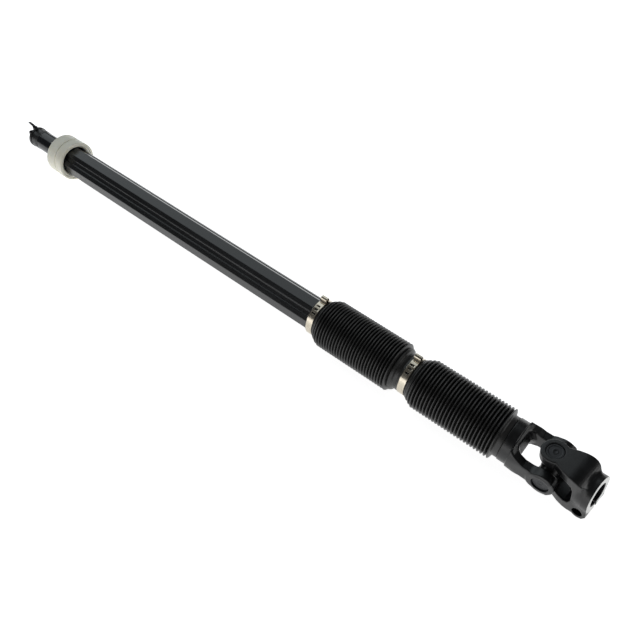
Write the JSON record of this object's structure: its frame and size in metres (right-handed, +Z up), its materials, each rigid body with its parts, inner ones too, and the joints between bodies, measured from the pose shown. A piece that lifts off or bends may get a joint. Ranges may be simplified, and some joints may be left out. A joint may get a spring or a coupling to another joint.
{
  "type": "universal joint shaft",
  "caption": "Telescopic steering shaft: grooved profile tube with a nylon bearing ring, two rubber bellows, and a universal joint with a splined clamp yoke.",
  "frame": {"origin": "centre of the nylon bearing ring, on the shaft's axis", "axes": "+X along the shaft toward the universal joint, +Z up, +Y to the left when looking along +X"},
  "size_m": [0.8815, 0.0588, 0.0602],
  "materials": {
    "black_coat": "satin black coating on cold drawn steel",
    "phosphate": "dull black phosphated turned steel",
    "nylon": "natural cream nylon, lightly turned",
    "black_plastic": "soft black moulded plastic",
    "rubber": "matt black moulded rubber",
    "band_steel": "bright rolled stainless band",
    "acetal": "white acetal, low friction",
    "shaft_steel": "cold drawn steel, thin film of grease",
    "forging": "black coated forging with a machined end face",
    "bearing_steel": "ground bearing steel, darkened"
  },
  "bodies": {
    "upper_shaft": {"profile_tube": "black_coat", "upper_stub": "phosphate", "bearing_ring": "nylon", "end_cap": "black_plastic", "cable_tie": "black_plastic", "tube_collar": "black_plastic", "tube_liner": "acetal", "upper_bellows": "rubber", "clamp_1": "band_steel"},
    "mid_guide": {"guide_bush": "acetal", "clamp_2": "band_steel", "lower_bellows": "rubber"},
    "lower_shaft": {"sliding_shaft": "shaft_steel", "inner_yoke": "forging", "inner_yoke_cups": "bearing_steel", "inner_yoke_needles": "bearing_steel"},
    "cross": {"cross_spider": "bearing_steel", "cross_seals": "rubber"},
    "clamp_yoke": {"clamp_yoke": "forging", "clamp_yoke_cups": "bearing_steel", "clamp_yoke_needles": "bearing_steel"}
  },
  "joints": [
    {"name": "guide_slide", "type": "slide", "parent": "upper_shaft", "child": "mid_guide", "axis": [1, 0, 0], "range_m": [-0.007, 0.08], "deforming": ["upper_bellows"]},
    {"name": "shaft_slide", "type": "slide", "parent": "mid_guide", "child": "lower_shaft", "axis": [1, 0, 0], "range_m": [-0.007, 0.08], "deforming": ["lower_bellows"]},
    {"name": "joint_pitch", "type": "hinge", "parent": "lower_shaft", "child": "cross", "pos_m": [0.7525, 0, 0], "axis": [0, -1, 0], "range_deg": [-39, 21]},
    {"name": "joint_yaw", "type": "hinge", "parent": "cross", "child": "clamp_yoke", "pos_m": [0.7525, 0, 0], "axis": [0.1564, 0, -0.9877], "range_deg": [-35.5, 24.5]}
  ],
  "couplings": [
    {"joint": "guide_slide", "follows": "shaft_slide", "ratio": 1}
  ]
}
